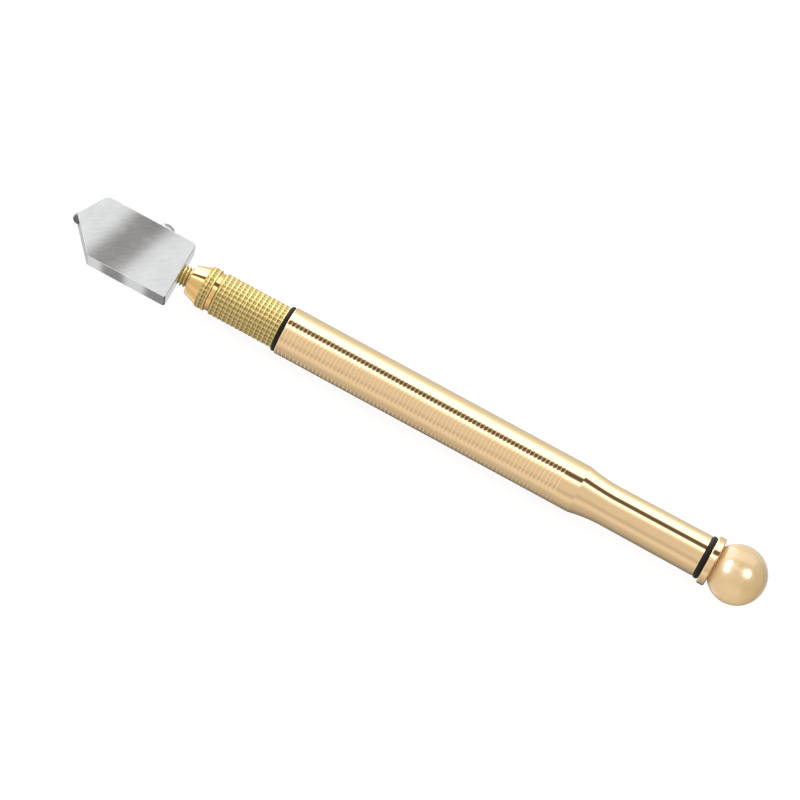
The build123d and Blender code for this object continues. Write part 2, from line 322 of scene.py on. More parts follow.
def dark_carbide():
    """Fine ground carbide with a mottled grey grain."""
    material, nodes = new_material("wheel_dark_carbide")
    grain = nodes.noise(nodes.place((14.0, 14.0, 14.0)), detail=4.0)
    finish_material(nodes, {
        "Base Color": nodes.blend(grain, rgb(0.09, 0.09, 0.095), rgb(0.20, 0.20, 0.21)),
        "Metallic": 0.9,
        "Roughness": nodes.spread(grain, 0.28, 0.42),
        "Normal": nodes.bump(grain, 0.3, 0.002),
    })
    return material


def matte_fibre(name, light, dark, roughness, weave):
    """Felt or moulded nylon: a light matte body with a fine fibre or flow grain."""
    material, nodes = new_material(name)
    fibres = nodes.noise(nodes.place((weave, weave * 3, weave * 3)), detail=5.0, roughness=0.7)
    finish_material(nodes, {
        "Base Color": nodes.blend(fibres, dark, light),
        "Roughness": nodes.spread(fibres, roughness - 0.08, roughness + 0.05),
        "Normal": nodes.bump(fibres, 0.4, 0.02),
    })
    return material


# ---------------------------------------------------------------- mesh tools
def arc(centre, start, end, steps):
    """Points along the shorter arc about centre, from start to end, both included."""
    first = math.atan2(start[1] - centre[1], start[0] - centre[0])
    last = math.atan2(end[1] - centre[1], end[0] - centre[0])
    sweep = (last - first + math.pi) % FULL_TURN - math.pi
    r = math.dist(centre, start)
    turns = [first + sweep * k / steps for k in range(steps + 1)]
    return [(centre[0] + r * math.cos(a), centre[1] + r * math.sin(a)) for a in turns]


def rounded(corners, steps=5, hold=0.0):
    """A closed outline from (x, y) or (x, y, fillet radius) corners.

    hold sets an extra point that far before and after each fillet, so that the flats shade flat.
    """
    points = []
    for i, corner in enumerate(corners):
        here = Vector(corner[:2])
        if len(corner) < 3:
            points.append(tuple(here))
            continue
        before = (Vector(corners[i - 1][:2]) - here).normalized()
        after = (Vector(corners[(i + 1) % len(corners)][:2]) - here).normalized()
        half = before.angle(after) / 2
        reach = corner[2] / math.tan(half)
        centre = here + (before + after).normalized() * corner[2] / math.sin(half)
        if hold:
            points.append(tuple(here + before * (reach + hold)))
        points += arc(centre, here + before * reach, here + after * reach, steps)
        if hold:
            points.append(tuple(here + after * (reach + hold)))
    return points


def stations(start, end, step):
    """Evenly spaced places from start to end, both included, about one step apart."""
    count = max(1, round((end - start) / step))
    return [start + (end - start) * k / count for k in range(count + 1)]


def to_mesh(bm, name):
    bmesh.ops.recalc_face_normals(bm, faces=bm.faces)
    mesh = bpy.data.meshes.new(name)
    bm.to_mesh(mesh)
    bm.free()
    return mesh


# Points on the axis are welded to one within this distance in metres
WELD = 1e-8


def lathe(name, profile, segments=128, relief=None, turn=None):
    """A closed solid turned about X from a closed (x, r) profile in millimetres.

    relief(x, r, angle) says how far the surface is cut in there. turn is a matrix that puts the
    finished solid on another axis.
    """
    bm = bmesh.new()
    rings = []
    for k in range(segments):
        angle = FULL_TURN * k / segments
        ring = []
        for x, r in profile:
            cut_r = r - relief(x, r, angle) if relief and r > 0 else r
            y, z = cut_r * math.cos(angle), cut_r * math.sin(angle)
            ring.append(bm.verts.new((x * MM, y * MM, z * MM)))
        rings.append(ring)
    for k, ring in enumerate(rings):
        after = rings[(k + 1) % segments]
        for i in range(len(profile)):
            if profile[i - 1][1] > 0 or profile[i][1] > 0:
                bm.faces.new((ring[i - 1], ring[i], after[i], after[i - 1]))
    bmesh.ops.remove_doubles(bm, verts=bm.verts, dist=WELD)
    if turn:
        bmesh.ops.transform(bm, matrix=turn, verts=bm.verts)
    return to_mesh(bm, name)


def slab(name, outline, half, edge, steps=4):
    """A slab from z = -half to z = half with its two rims rounded over, from an (x, y) outline."""
    count = len(outline)
    normals = []
    for i in range(count):
        before = Vector(outline[i]) - Vector(outline[i - 1])
        after = Vector(outline[(i + 1) % count]) - Vector(outline[i])
        n1 = Vector((before.y, -before.x)).normalized()
        n2 = Vector((after.y, -after.x)).normalized()
        normals.append((n1 + n2) / (1 + n1.dot(n2)))
    rim = [(edge * (1 - math.cos(a)), half - edge * (1 - math.sin(a)))
           for a in [math.pi / 2 * k / steps for k in range(steps + 1)]]
    levels = [(inset, -z) for inset, z in reversed(rim)] + rim
    bm = bmesh.new()
    loops = []
    for inset, z in levels:
        loops.append([bm.verts.new(((p[0] - n.x * inset) * MM, (p[1] - n.y * inset) * MM, z * MM))
                      for p, n in zip(outline, normals)])
    for low, high in zip(loops, loops[1:]):
        for i in range(count):
            bm.faces.new((low[i - 1], low[i], high[i], high[i - 1]))
    bm.faces.new(loops[0])
    bm.faces.new(loops[-1])
    return to_mesh(bm, name)


def box_mesh(name, low, high):
    """A plain block between two corners in millimetres, for cutting with."""
    bm = bmesh.new()
    size = Vector(high) - Vector(low)
    middle = (Vector(high) + Vector(low)) / 2
    place = Matrix.Translation(middle * MM) @ Matrix.Diagonal((*(size * MM), 1))
    bmesh.ops.create_cube(bm, size=1, matrix=place)
    return to_mesh(bm, name)


def cut(mesh, cutters):
    """The mesh with each closed cutter mesh taken out of it."""
    objects = [link(bpy.data.objects.new(m.name, m)) for m in [mesh, *cutters]]
    for tool in objects[1:]:
        modifier = objects[0].modifiers.new("cut", "BOOLEAN")
        modifier.operation = "DIFFERENCE"
        modifier.solver = "EXACT"
        modifier.object = tool
    graph = bpy.context.evaluated_depsgraph_get()
    made = bpy.data.meshes.new_from_object(objects[0].evaluated_get(graph))
    made.name = mesh.name
    for o in objects:
        bpy.data.objects.remove(o)
    return made


def second_material(mesh, where):
    """Gives the faces whose middle lies where(x, r) says the piece's second material."""
    for face in mesh.polygons:
        x, y, z = face.center / MM
        face.material_index = 1 if where(x, math.hypot(y, z)) else 0


def add_piece(mesh, body, materials, nodes, sharp=32):
    """A finished piece: shaded, given its materials, and put in place of its CAD nodes.

    Edges that bend by more than sharp degrees stay crisp.
    """
    mesh.polygons.foreach_set("use_smooth", [True] * len(mesh.polygons))
    mesh.set_sharp_from_angle(angle=math.radians(sharp))
    for material in materials:
        mesh.materials.append(material)
    piece = link(bpy.data.objects.new(mesh.name, mesh))
    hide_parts(*nodes)
    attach(piece, body)
    return piece


def keep_flats_flat(piece):
    """Puts all of the shading's bend on the small faces between the large flat ones."""
    piece.modifiers.new("flat_faces", "WEIGHTED_NORMAL").keep_sharp = True


# ---------------------------------------------------------------- knurls and threads
# A relief starts this far under the radius that it is cut into
HAIR = 0.01
# The breaks on turned edges
EDGE = 0.2
SMALL_EDGE = 0.1
# Over what length a thread fades in and out
RUNOUT = 0.3
# How many points a pitch of thread and a cell of the knurl get
THREAD_SAMPLES = 12
KNURL_SAMPLES = 10
KNURL_CELLS = 28
KNURL_RIDGE = 0.14
KNURL_FLANK = 0.20
CROSS_DEPTH = 0.1


def valley(phase):
    """0 on a narrow ridge at every whole phase, and 1 down the middle between two ridges."""
    off_ridge = 0.5 - abs(phase % 1.0 - 0.5)
    return min(1.0, max(0.0, (off_ridge - KNURL_RIDGE / 2) / KNURL_FLANK))


def knurl(x_from, x_to, r_from, first_ridge, pitch, depth):
    """A relief of square pits between ring ridges and lower ridges along the axis."""
    def relief(x, r, angle):
        if not (x_from <= x <= x_to and r >= r_from):
            return 0.0
        along = valley((x - first_ridge) / pitch)
        around = valley(angle / FULL_TURN * KNURL_CELLS)
        return along * (CROSS_DEPTH + (depth - CROSS_DEPTH) * around)
    return relief


def thread(x_from, x_to, r_from, pitch, depth, runout=RUNOUT):
    """A relief of a right-hand thread that fades in over the runout at each end."""
    def relief(x, r, angle):
        if r < r_from:
            return 0.0
        fade = min(1.0, max(0.0, (x - x_from) / runout), max(0.0, (x_to - x) / runout))
        phase = x / pitch - angle / FULL_TURN
        return depth * fade * (1 - math.cos(FULL_TURN * phase)) / 2
    return relief


# ---------------------------------------------------------------- barrel
# The dark line in the handle steps up where the taper starts, more than the lamps alone give, so
# the shading of the taper and the rear tube leans by this slope
REAR_ROLL = 0.065
BARREL_EDGE = 0.35
GROOVE_PITCH = 0.972
GROOVE_WIDTH = 0.36
GROOVE_DEPTH = 0.035
GROOVE_STEP = 0.25
FIRST_GROOVE = 1.0
GROOVE_COUNT = 72
STRAIGHT = 74.7
TAPER = 8.1
TAPER_END_R = 4.825
REAR_R = 4.975
RESERVOIR_R = 3.9
SOCKET_R = 4.5
CRISP = 0.12


def ring_grooves(first, big):
    """The shallow rings turned round the barrel: rounded grooves with flat lands between."""
    points = []
    for k in range(GROOVE_COUNT):
        for t in stations(-1, 1, GROOVE_STEP):
            depth = GROOVE_DEPTH * (1 + math.cos(math.pi * t)) / 2
            points.append((first + k * GROOVE_PITCH + t * GROOVE_WIDTH / 2, big - depth))
    return points


def arc_onto_line(start, touch, direction, steps):
    """The arc from start that ends at touch, running along direction there."""
    chord = Vector(start) - Vector(touch)
    normal = Vector((-direction[1], direction[0])).normalized()
    centre = Vector(touch) + normal * chord.length_squared / (2 * chord.dot(normal))
    return arc(centre, start, touch, steps)


def make_barrel(gold, rear_gold):
    front, rear = span("barrel")
    big = radius("barrel")
    socket_end = span("grip_sleeve")[1]
    inner_edge = (front + BARREL_EDGE, big - BARREL_EDGE)
    taper_end = (front + STRAIGHT + TAPER, TAPER_END_R)
    rear_slope = (rear - taper_end[0], REAR_R - TAPER_END_R)
    profile = [(front + CRISP, SOCKET_R), (front, SOCKET_R + CRISP)]
    profile += arc(inner_edge, (front, big - BARREL_EDGE), (front + BARREL_EDGE, big), 10)
    profile += ring_grooves(front + FIRST_GROOVE, big)
    profile += arc_onto_line((front + STRAIGHT, big), taper_end, rear_slope, 24)
    profile += [(rear - CRISP, REAR_R), (rear, REAR_R - CRISP)]
    profile += [(rear, RESERVOIR_R + CRISP), (rear - CRISP, RESERVOIR_R)]
    profile += [(socket_end, RESERVOIR_R), (socket_end, SOCKET_R)]
    mesh = lathe("barrel_body", profile, 160)
    second_material(mesh, lambda x, r: x > front + STRAIGHT)
    add_piece(mesh, "handle", [gold, rear_gold], ["barrel"], sharp=10)


# ---------------------------------------------------------------- grip sleeve
GRIP_PITCH = 1.12
GRIP_RIDGES = 15
FIRST_RIDGE = 0.42
GRIP_FRONT = 37.0
GRIP_END = 53.2
GRIP_EDGE = 0.25
KNURL_DEPTH = 0.28
GRIP_THREAD_R = 3.6
GRIP_BORE_R = 2.85
SEAT_SPAN = (42.0, 43.6)
SEAT_R = 1.6
CHAMBER_R = 3.2
FINE_PITCH = 0.75
FINE_DEPTH = 0.3


def make_grip(brass):
    front, tail_end = span("grip_sleeve")
    big = radius("grip_sleeve")
    first = GRIP_FRONT + FIRST_RIDGE
    last = first + (GRIP_RIDGES - 1) * GRIP_PITCH
    knurled = stations(first, last, GRIP_PITCH / KNURL_SAMPLES)
    threaded = stations(front + EDGE, GRIP_FRONT - RUNOUT, FINE_PITCH / THREAD_SAMPLES)
    profile = [(front, GRIP_BORE_R + EDGE), (front, GRIP_THREAD_R - EDGE)]
    profile += [(x, GRIP_THREAD_R) for x in threaded]
    profile += [(GRIP_FRONT, GRIP_THREAD_R), (GRIP_FRONT, big - GRIP_EDGE)]
    profile += [(GRIP_FRONT + GRIP_EDGE, big), *[(x, big) for x in knurled]]
    profile += [(GRIP_END, big - SMALL_EDGE), (GRIP_END, SOCKET_R)]
    profile += [(tail_end - EDGE, SOCKET_R), (tail_end, SOCKET_R - EDGE)]
    profile += [(tail_end, CHAMBER_R), (SEAT_SPAN[1], CHAMBER_R), (SEAT_SPAN[1], SEAT_R)]
    profile += [(SEAT_SPAN[0], SEAT_R), (SEAT_SPAN[0], GRIP_BORE_R), (front + EDGE, GRIP_BORE_R)]
    pit_shade_and_dirt = knurl(first, last, big - HAIR, first, GRIP_PITCH, KNURL_DEPTH)
    screw = thread(front, GRIP_FRONT - EDGE, GRIP_THREAD_R - HAIR, FINE_PITCH, FINE_DEPTH)

    def relief(x, r, angle):
        return pit_shade_and_dirt(x, r, angle) + screw(x, r, angle)

    mesh = lathe("grip_body", profile, KNURL_CELLS * KNURL_SAMPLES, relief)
    add_piece(mesh, "handle", [brass], ["grip_sleeve"])


# ---------------------------------------------------------------- nose nut
NOSE_FRONT_R = 3.45
NOSE_MOUTH_R = 2.95
NOSE_MOUTH_DEPTH = 0.3
NOSE_MOUTH_FLARE = 0.18
NOSE_EDGE = 0.15
NOSE_BORE_R = 2.55
CONE_END = 33.45
CONE_END_R = 4.65
RING_RIDGES = (34.3, 35.5)
RING_LEAD = 7
RING_CHAMFER_END = 35.8
RING_STEP = 0.08
NECK_R = 4.6
WASHER_RECESS_R = 3.15
GRIP_THREAD_BORE_R = 3.65
RING_DEPTH = 0.26


def make_nose(gold, brass):
    front, end = span("nose_nut")
    ring_r = radius("nose_nut")
    washer_front = span("thrust_washer")[0]
    thread_front = span("grip_sleeve")[0]
    pitch = RING_RIDGES[1] - RING_RIDGES[0]
    step = pitch / KNURL_SAMPLES
    ring_start = RING_RIDGES[0] - RING_LEAD * step
    knurled = stations(ring_start, RING_RIDGES[1], step)
    profile = rounded([
        (front, NOSE_MOUTH_R),
        (front, NOSE_FRONT_R, NOSE_EDGE),
        (CONE_END, CONE_END_R),
    ], 4)
    profile += [(x, ring_r) for x in knurled]
    profile += [(RING_RIDGES[1] + step, ring_r)]
    profile += [(RING_CHAMFER_END, NECK_R + RING_STEP), (RING_CHAMFER_END, NECK_R)]
    profile += [(end - NOSE_EDGE, NECK_R), (end, NECK_R - NOSE_EDGE)]
    profile += [(end, GRIP_THREAD_BORE_R), (thread_front, GRIP_THREAD_BORE_R)]
    profile += [(thread_front, WASHER_RECESS_R), (washer_front, WASHER_RECESS_R)]
    profile += [(washer_front, NOSE_BORE_R), (front + NOSE_MOUTH_DEPTH, NOSE_BORE_R)]
    profile += [(front + NOSE_MOUTH_FLARE, NOSE_MOUTH_R)]
    pit_shade_and_dirt = knurl(ring_start, RING_RIDGES[1], ring_r - HAIR, RING_RIDGES[0], pitch, RING_DEPTH)
    mesh = lathe("nose_body", profile, KNURL_CELLS * KNURL_SAMPLES, pit_shade_and_dirt)
    ring_from, ring_to = CONE_END - HAIR, RING_CHAMFER_END + HAIR
    second_material(mesh, lambda x, r: ring_from < x < ring_to and r > NECK_R)
    add_piece(mesh, "nose", [gold, brass], ["nose_nut"])


# ---------------------------------------------------------------- stem
JOURNAL_R = 2.0
HEAD_REAR = 27.6
LOCK_X = 19.8
GROOVE_HALF = 1.5
STEM_GROOVE_R = 1.59
COLLAR_END = 31.2
SPIGOT_R = 1.8
OIL_BORE_R = 0.9
STEM_PITCH = 0.8
STEM_THREAD_DEPTH = 0.45
STEM_RUNOUT = 0.15


def make_stem(brass):
    front, end = span("stem")
    collar_r = radius("stem")
    collar = stations(HEAD_REAR + SMALL_EDGE, COLLAR_END - SMALL_EDGE, STEM_PITCH / THREAD_SAMPLES)
    profile = [(front, OIL_BORE_R + SMALL_EDGE), (front, JOURNAL_R - EDGE)]
    profile += [(front + EDGE, JOURNAL_R)]
    profile += [(LOCK_X - GROOVE_HALF, JOURNAL_R), (LOCK_X - GROOVE_HALF, STEM_GROOVE_R)]
    profile += [(LOCK_X + GROOVE_HALF, STEM_GROOVE_R), (LOCK_X + GROOVE_HALF, JOURNAL_R)]
    profile += [(HEAD_REAR, JOURNAL_R), (HEAD_REAR, collar_r - SMALL_EDGE)]
    profile += [(x, collar_r) for x in collar]
    profile += [(COLLAR_END, collar_r - SMALL_EDGE), (COLLAR_END, SPIGOT_R)]
    profile += [(end - EDGE, SPIGOT_R), (end, SPIGOT_R - EDGE)]
    profile += [(end, OIL_BORE_R), (front + SMALL_EDGE, OIL_BORE_R)]
    screw = thread(HEAD_REAR, COLLAR_END, collar_r - HAIR, STEM_PITCH, STEM_THREAD_DEPTH,
                   STEM_RUNOUT)
    add_piece(lathe("stem_body", profile, 96, screw), "plunger", [brass], ["stem"])


# ---------------------------------------------------------------- cutting head
UPPER_SHOULDER_X = 4.8
LOWER_SHOULDER_X = 7.7
UPPER_SHOULDER_R = 1.6
LOWER_SHOULDER_R = 0.3
REAR_CORNER_R = 0.7
TIP_R = 0.2
HEAD_RIM = 0.12
SLOT_HALF = 0.55
SLOT_END = 3.2
AXLE_R = 0.3
AXLE_TOP = 2.4
STEM_BORE_END = 16.8
BORE_CHAMFER = 0.3
CHANNEL_START = 2.7
CHANNEL_R = 0.6
GAP = 0.05
LOCK_SCREW_R = 1.5
COUNTERBORE_R = 2.4
COUNTERBORE_DEPTH = 0.4
COUNTERBORE_EDGE = 0.08
# How far a cutter reaches past the faces that it opens
JUST_PAST = 0.1
WELL_PAST = 1


def along_y(x):
    """Stands a solid turned about X on the +Y direction at a place along the handle."""
    return Matrix.Translation((x * MM, 0, 0)) @ Matrix.Rotation(math.pi / 2, 4, "Z")


def along_z(x):
    """Stands a solid turned about X on the +Z direction at a place along the handle."""
    return Matrix.Translation((x * MM, 0, 0)) @ Matrix.Rotation(-math.pi / 2, 4, "Y")


def make_head(steel):
    tip, rear = span("head_block")
    bottom, top = span("head_block", 1)
    half = span("head_block", 2)[1]
    outline = rounded([
        (tip, 0, TIP_R),
        (LOWER_SHOULDER_X, bottom, LOWER_SHOULDER_R),
        (rear, bottom, REAR_CORNER_R),
        (rear, top, REAR_CORNER_R),
        (UPPER_SHOULDER_X, top, UPPER_SHOULDER_R),
    ], 8)
    block = slab("head_body", outline, half, HEAD_RIM)
    slot = box_mesh("slot", (tip - WELL_PAST, bottom - WELL_PAST, -SLOT_HALF),
                    (SLOT_END, top + WELL_PAST, SLOT_HALF))
    bore_r = JOURNAL_R + GAP
    past_rear = rear + JUST_PAST
    stem_bore = lathe("stem_bore", [
        (CHANNEL_START, 0), (CHANNEL_START, CHANNEL_R), (STEM_BORE_END, CHANNEL_R),
        (STEM_BORE_END, bore_r), (rear - BORE_CHAMFER, bore_r),
        (past_rear, bore_r + BORE_CHAMFER + JUST_PAST), (past_rear, 0),
    ], 64)
    axle_hole = lathe("axle_hole", [
        (-half - WELL_PAST, 0), (-half - WELL_PAST, AXLE_R), (AXLE_TOP, AXLE_R), (AXLE_TOP, 0),
    ], 32, turn=along_z(span("wheel_axle")[1] - AXLE_R))
    screw_hole_r = LOCK_SCREW_R + GAP
    ledge = top - COUNTERBORE_DEPTH
    past_top = top + JUST_PAST
    lock_hole = lathe("lock_hole", [
        (0, 0), (0, screw_hole_r), (ledge, screw_hole_r), (ledge, COUNTERBORE_R),
        (top - COUNTERBORE_EDGE, COUNTERBORE_R),
        (past_top, COUNTERBORE_R + COUNTERBORE_EDGE + JUST_PAST), (past_top, 0),
    ], 64, turn=along_y(LOCK_X))
    mesh = cut(block, [slot, stem_bore, axle_hole, lock_hole])
    piece = add_piece(mesh, "head", [steel], ["head_block"], sharp=40)
    # The nose cone would show a dark picture of the head, which the photo doesn't
    piece.visible_glossy = False
    keep_flats_flat(piece)


WHEEL_BEVEL = 0.45
WHEEL_LAND_HALF = 0.04
WHEEL_WEAR = 0.01


def make_wheel(carbide):
    half = span("cutting_wheel", 2)[1]
    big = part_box("cutting_wheel")[1].y / MM
    bore = AXLE_R + GAP / 2
    shoulder_r = big - WHEEL_BEVEL
    rim_r = big - WHEEL_WEAR
    profile = [
        (-half, bore), (-half, shoulder_r), (-WHEEL_LAND_HALF, rim_r), (WHEEL_LAND_HALF, rim_r),
        (half, shoulder_r), (half, bore),
    ]
    mesh = lathe("wheel_body", profile, 96, turn=along_z(big))
    add_piece(mesh, "wheel", [carbide], ["cutting_wheel"], sharp=20)


LOCK_HEAD_R = 2.25
LOCK_HEAD_UNDERSIDE = 6.85
LOCK_HEAD_RIM = 0.25
DRIVER_HALF = 0.3
DRIVER_DEPTH = 0.5
DRIVER_REACH = 3
LOCK_PITCH = 0.5
LOCK_DEPTH = 0.2
LOCK_SAMPLES = 10


def make_lock_screw(steel):
    foot, dome_top = span("lock_screw", 1)
    rim = LOCK_HEAD_UNDERSIDE + LOCK_HEAD_RIM
    rise = dome_top - rim
    dome_r = (LOCK_HEAD_R ** 2 + rise ** 2) / (2 * rise)
    shank = stations(foot + EDGE, LOCK_HEAD_UNDERSIDE - RUNOUT, LOCK_PITCH / LOCK_SAMPLES)
    profile = [(foot, 0), (foot, LOCK_SCREW_R - EDGE)]
    profile += [(y, LOCK_SCREW_R) for y in shank]
    profile += [(LOCK_HEAD_UNDERSIDE, LOCK_SCREW_R), (LOCK_HEAD_UNDERSIDE, LOCK_HEAD_R)]
    profile += arc((dome_top - dome_r, 0), (rim, LOCK_HEAD_R), (dome_top, 0), 12)
    screw = thread(foot, LOCK_HEAD_UNDERSIDE - EDGE, LOCK_SCREW_R - HAIR, LOCK_PITCH, LOCK_DEPTH)
    body = lathe("lock_screw_body", profile, 96, screw, along_y(LOCK_X))
    driver = box_mesh("driver", (LOCK_X - DRIVER_REACH, dome_top - DRIVER_DEPTH, -DRIVER_HALF),
                      (LOCK_X + DRIVER_REACH, dome_top + WELL_PAST, DRIVER_HALF))
    piece = add_piece(cut(body, [driver]), "lock", [steel], ["lock_screw"])
    keep_flats_flat(piece)


# ---------------------------------------------------------------- O-rings and end cap
SEAL_SWELL = 0.42
SEAL_HOLE_EDGE = 0.1
SEAL_FIT = 0.02


def make_o_ring(name, node, body, hole_r, rubber):
    """A round-cornered rubber ring squeezed flat on its two faces."""
    front, rear = span(node)
    big = radius(node)
    swell = SEAL_SWELL * (rear - front)
    profile = rounded([
        (front, hole_r, SEAL_HOLE_EDGE),
        (front, big, swell),
        (rear, big, swell),
        (rear, hole_r, SEAL_HOLE_EDGE),
    ], 8)
    add_piece(lathe(name, profile, 128), body, [rubber], [node], sharp=60)


FLANGE_FRONT = 161.3
FLANGE_END = 163.2
FLANGE_RIM_R = 0.4
FLANGE_HOLD = 0.03
PLUG_R = 3.85
PLUG_CHAMFER = 0.5
PLUG_UNDERCUT = 0.4
STUD_R = 2.0
BALL_CENTRE = 168.7


def make_plug(gold):
    front, end = span("filler_plug")
    big = radius("filler_plug")
    thread_end = FLANGE_FRONT - PLUG_UNDERCUT
    threaded = stations(front + PLUG_CHAMFER, thread_end, FINE_PITCH / THREAD_SAMPLES)
    profile = [(front, 0), (front, PLUG_R - PLUG_CHAMFER)]
    profile += [(x, PLUG_R) for x in threaded]
    profile += rounded([
        (FLANGE_FRONT, PLUG_R),
        (FLANGE_FRONT, big, FLANGE_RIM_R),
        (FLANGE_END, big, FLANGE_RIM_R),
        (FLANGE_END, STUD_R),
    ], 8, FLANGE_HOLD)
    profile += [(end - EDGE, STUD_R), (end, STUD_R - EDGE), (end, 0)]
    screw = thread(front + RUNOUT, thread_end - EDGE, PLUG_R - HAIR, FINE_PITCH, FINE_DEPTH)
    mesh = lathe("plug_body", profile, 128, screw)
    add_piece(mesh, "cap", [gold], ["filler_plug"])


def make_ball(gold):
    front, rear = span("tapping_ball")
    ball_r = rear - BALL_CENTRE
    stud_end = span("filler_plug")[1]
    mouth_r = math.sqrt(ball_r ** 2 - (BALL_CENTRE - front) ** 2)
    profile = [(front, STUD_R)]
    profile += arc((BALL_CENTRE, 0), (front, mouth_r), (rear, 0), 64)
    profile += [(stud_end, 0), (stud_end, STUD_R)]
    return add_piece(lathe("ball_body", profile, 160), "cap", [gold], ["tapping_ball"])


# ---------------------------------------------------------------- stage and light
FLOOR_HALF = 3.0
FLOOR_GREY = 0.25
FLOOR_GLOW = 0.84
STRIPE_PEAK = 4.0
# The studio round the handle's axis, by degrees from straight up towards -Y, as a brightness or
# as red, green and blue. It differs with how far a reflected ray points towards the head.
SQUARE_ON = (
    (-180, 0.12), (-173, 0.15), (-167, 0.75), (-150, 0.80), (-140, 0.66),
    (-112, 0.76, 0.84, 0.83), (-94, 0.90, 1.00, 1.03), (-79, 1.20, 1.30, 1.38),
    (-70, 2.4), (-40, 2.6), (-36, 1.00), (-31, 0.150, 0.133, 0.122), (-16, 0.140, 0.123, 0.112),
    (-11, 0.60), (-7, 2.5), (0, 2.4), (5, 1.30), (12, 0.95), (18, 0.81), (50, 0.81),
    (62, 0.67), (69, 0.66), (78, 0.83), (89, 0.91), (100, 0.77), (113, 0.64), (128, 0.58),
    (146, 0.42), (158, 0.34), (168, 0.28), (174, 0.15), (180, 0.12),
)
SLANTING = (
    (-180, 0.30), (-173, 0.35), (-167, 1.00), (-140, 1.00), (-112, 0.85), (-94, 0.95),
    (-79, 1.30), (-70, 2.4), (-40, 2.6), (-36, 1.30), (-31, 1.02), (-16, 1.02), (-11, 1.20),
    (-7, 2.5), (0, 2.4), (5, 1.40), (12, 1.25), (18, 1.18), (50, 1.18), (62, 1.00), (89, 1.05),
    (113, 0.68), (128, 0.62), (146, 1.00), (168, 1.10), (174, 0.35), (180, 0.30),
)
FROM_THE_HEAD = (
    (-180, 0.50), (-150, 0.70), (-125, 2.5), (-60, 4.0), (-40, 4.0), (-36, 1.00),
    (-31, 0.185, 0.165, 0.155), (-16, 0.175, 0.155, 0.145), (-11, 0.60), (-7, 3.5), (0, 3.0),
    (5, 1.30), (12, 0.95), (18, 0.81), (62, 0.70), (89, 0.91), (113, 0.70), (146, 0.85),
    (168, 0.80), (180, 0.50),
)
# The share of a ray along the handle at which one gives way to the next, and at which the lamps
# end behind the ball
SLANTING_FADE = (-0.16, -0.22)
FROM_THE_HEAD_FADE = (-0.40, -0.50)
LAMP_END_FADE = (0.45, 0.65)
BEHIND_THE_BALL = 0.35
# The strips bow away from the handle towards their ends, measured from this share
STRIP_MIDDLE = -0.08
STRIP_BOW = 0.27


def lamp_strips(nodes, lean, brightness):
    """The colour of one set of strips at each lean."""
    share = nodes.math("ADD", nodes.math("DIVIDE", lean, FULL_TURN), 0.5)
    ramp = nodes.add("ShaderNodeValToRGB", {0: share})
    stops = ramp.color_ramp.elements
    while len(stops) > 1:
        stops.remove(stops[-1])
    for i, (degrees, *colour) in enumerate(brightness):
        stop = stops.new(degrees / 360 + 0.5) if i else stops[0]
        red, green, blue = colour if len(colour) == 3 else colour * 3
        stop.color = rgb(red / STRIPE_PEAK, green / STRIPE_PEAK, blue / STRIPE_PEAK)
    return ramp.outputs[0]


def fade(nodes, value, start, end):
    """0 up to the start and 1 from the end on."""
    feed = {"Value": value, "From Min": start, "From Max": end}
    return nodes.add("ShaderNodeMapRange", feed, interpolation_type="SMOOTHSTEP").outputs[0]


def light_studio():
    """Soft strip lights along the handle, seen only by reflections; the camera sees plain white."""
    world = bpy.data.worlds.new("studio")
    world.use_nodes = True
    bpy.context.scene.world = world
    nodes = Nodes(world.node_tree)
    direction = nodes.add("ShaderNodeTexCoord").outputs["Generated"]
    x, y, z = nodes.split(direction)
    lean = nodes.math("ARCTAN2", nodes.math("MULTIPLY", y, -1.0), z)
    off_middle = nodes.math("ABSOLUTE", nodes.math("SUBTRACT", x, STRIP_MIDDLE))
    lean = nodes.math("ADD", lean, nodes.math("MULTIPLY", off_middle, STRIP_BOW))
    slanting = fade(nodes, x, *SLANTING_FADE)
    from_head = fade(nodes, x, *FROM_THE_HEAD_FADE)
    colour = lamp_strips(nodes, lean, SQUARE_ON)
    colour = nodes.blend(slanting, colour, lamp_strips(nodes, lean, SLANTING))
    colour = nodes.blend(from_head, colour, lamp_strips(nodes, lean, FROM_THE_HEAD))
    past_end = fade(nodes, x, *LAMP_END_FADE)
    strength = nodes.spread(past_end, STRIPE_PEAK, STRIPE_PEAK * BEHIND_THE_BALL)
    strips = nodes.add("ShaderNodeBackground", {"Color": colour, "Strength": strength})
    white = nodes.add("ShaderNodeBackground", {"Color": rgb(1, 1, 1), "Strength": 1.0})
    seen = nodes.add("ShaderNodeLightPath").outputs["Is Camera Ray"]
    both = nodes.add("ShaderNodeMixShader", {0: seen, 1: strips.outputs[0], 2: white.outputs[0]})
    nodes.add("ShaderNodeOutputWorld", {"Surface": both.outputs[0]})


def lay_floor():
    """A table top at the height of the ball's lowest point, which glows nearly to white.

    It shows white where it is lit, and its grey lets the tool cast a faint shadow.
    """
    bm = bmesh.new()
    bmesh.ops.create_grid(bm, x_segments=1, y_segments=1, size=FLOOR_HALF)
    mesh = to_mesh(bm, "floor")
    material, nodes = new_material("floor_white")
    finish_material(nodes, {
        "Base Color": rgb(FLOOR_GREY, FLOOR_GREY, FLOOR_GREY),
        "Roughness": 0.9,
        "Specular IOR Level": 0.0,
        "Emission Color": rgb(1, 1, 1),
        "Emission Strength": FLOOR_GLOW,
    })
    mesh.materials.append(material)
    floor = link(bpy.data.objects.new("floor", mesh))
    floor.location.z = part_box("tapping_ball")[0].z
    floor.visible_glossy = False


